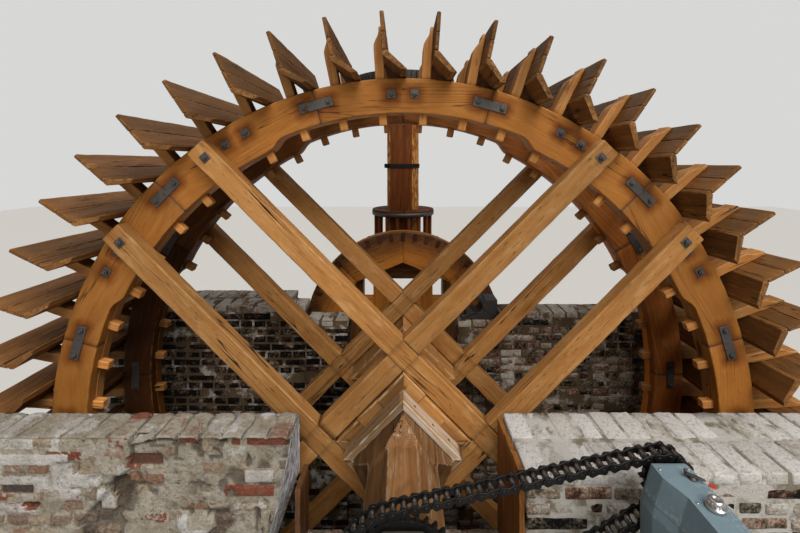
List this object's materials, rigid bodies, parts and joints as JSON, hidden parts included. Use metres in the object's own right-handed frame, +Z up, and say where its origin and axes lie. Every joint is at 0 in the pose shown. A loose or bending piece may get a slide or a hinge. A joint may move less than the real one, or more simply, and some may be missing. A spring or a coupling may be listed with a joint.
{
  "type": "watermill",
  "caption": "Clasp-arm waterwheel on a timber axle in a brick wheel pit, with a cogged pit wheel, a lantern pinion on an upright shaft and a roller-chain drive.",
  "frame": {"origin": "middle of the outer box on the plane of the walls' feet", "axes": "+X along the pit and across the wheel, +Y along the axle away from the viewer, +Z up"},
  "size_m": [6.3, 4.5702, 5.86],
  "materials": {
    "oak": "planed oak, aged honey brown, satin",
    "pale_wood": "bleached weathered wood",
    "orange_wood": "orange-brown oiled boards",
    "dark_wood": "dark greased hardwood",
    "brick": "old lime-smeared brickwork",
    "cast_iron": "dark oily cast iron",
    "wrought_iron": "black wrought iron with rust",
    "chain_steel": "oily dark steel",
    "grey_paint": "blue-grey paint on sheet metal"
  },
  "bodies": {
    "root": {"front_wall_left": "brick", "front_wall_right": "brick", "front_sill": "brick", "gap_lining": "pale_wood", "rear_wall_left": "brick", "rear_wall_right": "brick", "rear_sill": "brick", "front_pier": "brick", "tail_pier": "brick", "front_bearing": "cast_iron", "rear_bearing": "cast_iron", "bridge_posts": "oak", "bridge_beam": "oak", "footstep_bearing": "cast_iron", "old_bearing": "cast_iron", "housing_base": "cast_iron", "drive_housing": "grey_paint", "housing_cap": "cast_iron", "housing_latch": "cast_iron", "motor_shaft": "chain_steel", "motor_sprocket": "cast_iron", "drive_chain": "chain_steel"},
    "wheel": {"axle": "oak", "axle_gudgeons": "cast_iron", "axle_hoops": "wrought_iron", "axle_sprocket": "cast_iron", "hub_wedges": "pale_wood", "hub_battens": "pale_wood", "front_rim_outer": "oak", "front_rim_inner": "oak", "rear_rim_inner": "oak", "rear_rim_outer": "oak", "front_arms_down": "oak", "front_arms_up": "oak", "rear_arms_down": "oak", "rear_arms_up": "oak", "rim_straps": "wrought_iron", "front_starts": "oak", "rear_starts": "oak", "float_outer_boards": "oak", "float_inner_boards": "oak", "float_kick_boards": "oak", "pit_wheel_cants": "orange_wood", "pit_wheel_ring": "orange_wood", "pit_wheel_arms": "orange_wood", "pit_wheel_cogs": "dark_wood"},
    "upright": {"upright_shaft": "oak", "shaft_hoops": "wrought_iron", "wallower_discs": "dark_wood", "wallower_staves": "dark_wood", "crown_gear": "cast_iron"}
  },
  "joints": [
    {"name": "wheel_turn", "type": "hinge", "parent": "root", "child": "wheel", "pos_m": [0, 0, 2.9], "axis": [0, 1, 0], "continuous": true},
    {"name": "upright_turn", "type": "hinge", "parent": "root", "child": "upright", "pos_m": [0, 1.64512, 3.5], "axis": [0, 0, 1], "continuous": true}
  ],
  "couplings": [
    {"joint": "upright_turn", "follows": "wheel_turn", "ratio": 3}
  ]
}
